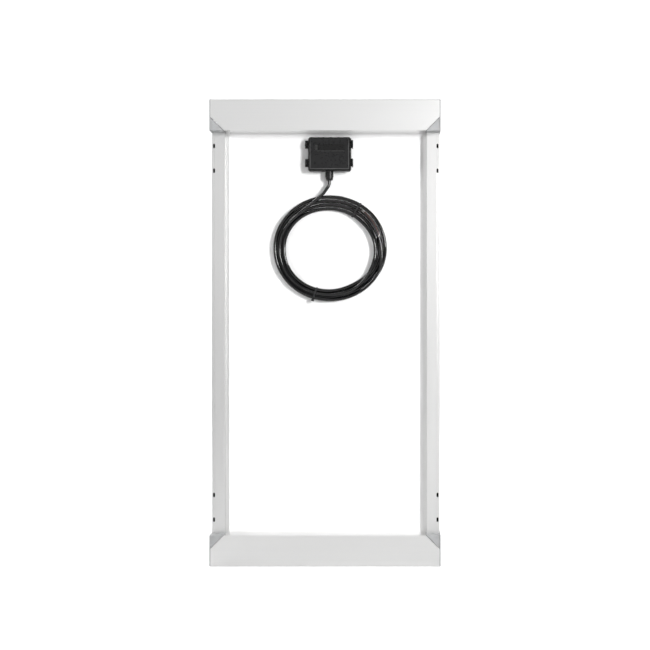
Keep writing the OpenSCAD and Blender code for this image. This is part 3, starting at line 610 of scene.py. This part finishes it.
NODE_FINISH = {
    "aluminium_x": ["end_rail_top", "end_rail_bottom"],
    "aluminium_z": ["side_rail_left", "side_rail_right"],
    "cap": [n for n in NODES if n.startswith("corner_cap")],
    "key": [n for n in NODES if n.startswith("corner_key")],
    "steel": ["cap_screws", "hinge_pins", "terminal_screws"],
    "glass": ["front_glass"],
    "eva": ["front_encapsulant", "rear_encapsulant"],
    "silicon": ["solar_cells"],
    "ribbon": ["cell_ribbons", "string_busbars"],
    "backsheet": ["backsheet"],
    "seal": ["edge_seal", "gland_seal"],
    "pad": ["adhesive_pad"],
    "lid": ["junction_box_lid"],
    "box": ["junction_box_base", "gland_body", "gland_locknut", "gland_ring", "gland_nut"],
    "gasket": ["lid_gasket"],
    "terminal": ["terminal_block"],
    "contact": ["terminal_clamps"],
    "diode": ["bypass_diodes"],
    "black": ["inner_wires"],
}
for finish, names in NODE_FINISH.items():
    for name in names:
        paint(NODES[name], finish)


# ---------------------------------------------------------------- CAD shapes with their edges eased
FLAT = math.radians(0.4)  # faces that turn by less are merged
SHARP = math.radians(30)  # edges that turn by more are rounded
SMOOTH = math.radians(40)  # edges that turn by less are shaded smooth
Z_AXIS = 2


def softened(node, radius, body="root", along=None, least=0.0, segments=2):
    """A copy of a CAD node that replaces it, with its sharp edges rounded.

    Only edges longer than least are rounded, and only those along one axis where along gives its number.
    """
    bm = bmesh.new()
    bm.from_mesh(NODES[node].data)
    bmesh.ops.remove_doubles(bm, verts=bm.verts, dist=1e-6)
    bmesh.ops.dissolve_limit(bm, angle_limit=FLAT, verts=bm.verts, edges=bm.edges)
    chosen = []
    for edge in bm.edges:
        run = edge.verts[1].co - edge.verts[0].co
        fits = along is None or abs(run[along]) > 0.999 * run.length
        sharp = len(edge.link_faces) == 2 and edge.calc_face_angle(0) > SHARP
        if fits and sharp and run.length > least:
            chosen.append(edge)
    bmesh.ops.bevel(
        bm, geom=chosen, offset=radius, segments=segments, profile=0.5, affect="EDGES", clamp_overlap=True
    )
    for face in bm.faces:
        face.smooth = True
    for edge in bm.edges:
        edge.smooth = len(edge.link_faces) == 2 and edge.calc_face_angle(0) < SMOOTH
    mesh = bpy.data.meshes.new(node + "_soft")
    bm.to_mesh(mesh)
    bm.free()
    obj = link(node + "_soft", mesh)
    mesh.materials.append(NODES[node].data.materials[0])
    weights = obj.modifiers.new("weights", "WEIGHTED_NORMAL")
    weights.keep_sharp = True
    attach(obj, body)
    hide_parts(node)


for side in ("left", "right"):
    softened("side_rail_" + side, 0.7 * MM, along=Z_AXIS, least=0.3)
for end in ("top", "bottom"):
    softened("end_rail_" + end, 0.6 * MM, least=0.006)
    for side in ("left", "right"):
        softened(f"corner_cap_{end}_{side}", 0.5 * MM, least=0.004)
softened("junction_box_lid", 0.6 * MM, "lid", least=0.0008, segments=3)
softened("junction_box_base", 0.3 * MM, least=0.0008)

# ---------------------------------------------------------------- pieces and what they stand for
paint(lead, "sheath")
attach(lead, "root")
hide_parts("cable_lead", "cable_coil")
for name, obj in cores.items():
    paint(obj, name.split("_")[1])
    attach(obj, "root")
    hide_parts(name)
paint(filler, "filler")
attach(filler, "root")
for obj in ferrules:
    paint(obj, "ferrule")
    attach(obj, "root")
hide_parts("core_ferrules")
for place, obj in ties.items():
    paint(obj, "nylon")
    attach(obj, "root")
    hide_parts("cable_tie_" + place)


# ---------------------------------------------------------------- floor, backdrop and light
STAGE_HALF, STAGE_NEAR, STAGE_FAR = 11.0, -9.0, 4.0  # half the floor's width, and where it starts and ends
STAGE_HEIGHT, STAGE_CURVE = 9.0, 1.5  # the backdrop's height and the radius of the curve up to it
STAGE_GLOW = 0.95  # what the camera sees of the floor and backdrop beyond the light that falls on them


def studio(bm):
    """A floor that curves up into a backdrop well behind the panel."""
    bends = [math.radians(10 * i) for i in range(1, 10)]
    profile = [(STAGE_NEAR, 0.0), (STAGE_FAR, 0.0)]
    profile += [(STAGE_FAR + STAGE_CURVE * math.sin(a), STAGE_CURVE * (1 - math.cos(a))) for a in bends]
    profile += [(STAGE_FAR + STAGE_CURVE, STAGE_HEIGHT)]
    floor = cad_low.z - 0.5 * MM
    rows = [[bm.verts.new((x, y, floor + z)) for x in (-STAGE_HALF, STAGE_HALF)] for y, z in profile]
    for low, high in zip(rows, rows[1:]):
        bm.faces.new((low[0], low[1], high[1], high[0]))


stage = mesh_object("studio", studio, 60)
stage_mat = surface("studio_white", (0.60, 0.60, 0.60), 0.8, vary=0.005, patch=0.5, specular=0.1)
stage_tree = stage_mat.node_tree
stage_shader = stage_tree.nodes["Principled BSDF"]
stage_shader.inputs["Emission Color"].default_value = (1, 1, 1, 1)
stage_ray = stage_tree.nodes.new("ShaderNodeLightPath")
stage_glow = calc(stage_tree, "MULTIPLY", stage_ray.outputs["Is Camera Ray"], STAGE_GLOW)
stage_tree.links.new(stage_glow, stage_shader.inputs["Emission Strength"])
stage.data.materials.append(stage_mat)


def lamp(name, at, towards, width, height, power):
    """A soft rectangular lamp that the camera doesn't see."""
    data = bpy.data.lights.new(name, "AREA")
    data.shape = "RECTANGLE"
    data.size, data.size_y = width, height
    data.energy = power
    obj = link(name, data)
    obj.location = at
    obj.rotation_euler = (Vector(towards) - Vector(at)).to_track_quat("-Z", "Y").to_euler()
    obj.visible_camera = False


lamp("key", (1.95, -2.2, 0.72), (0, 0, 0.05), 0.5, 1.0, 88)
lamp("overhead", (0.1, -0.9, 2.5), (0, 0, 0), 1.5, 0.7, 9)
lamp("left_strip", (-2.1, -0.7, 2.1), (0, 0, 0.25), 0.26, 1.2, 40)
lamp("left_fill", (-2.0, -1.6, 0.5), (0, 0, 0.3), 0.6, 0.8, 5)
lamp("front_fill", (-1.4, 2.3, 1.4), (0, 0, 0), 1.6, 1.6, 45)

# The room's light comes from behind the camera, from above and from beyond the panel. The camera sees white.
world = bpy.data.worlds.new("world")
SCENE.world = world
world.use_nodes = True
sky = world.node_tree
light = sky.nodes["Background"]
light.inputs["Color"].default_value = (1, 1, 1, 1)
facing = sky.nodes.new("ShaderNodeTexCoord")
_, into, upward = split(sky, facing.outputs["Generated"])
behind = spread(sky, calc(sky, "MULTIPLY", into, -1.0), 0.04, 0.82, 0.74, 0.97, "SMOOTHSTEP")
above = spread(sky, upward, 0.0, 0.16, 0.35, 0.95, "SMOOTHSTEP")
ahead = spread(sky, into, 0.0, 0.60, 0.0, 0.8, "SMOOTHSTEP")
room_light = calc(sky, "ADD", calc(sky, "ADD", behind, above), ahead)
sky.links.new(room_light, light.inputs["Strength"])
seen = sky.nodes.new("ShaderNodeBackground")
seen.inputs["Color"].default_value = (1, 1, 1, 1)
path = sky.nodes.new("ShaderNodeLightPath")
pick = sky.nodes.new("ShaderNodeMixShader")
sky.links.new(path.outputs["Is Camera Ray"], pick.inputs[0])
sky.links.new(light.outputs[0], pick.inputs[1])
sky.links.new(seen.outputs[0], pick.inputs[2])
sky.links.new(pick.outputs[0], sky.nodes["World Output"].inputs["Surface"])
SCENE.view_settings.view_transform = "Standard"
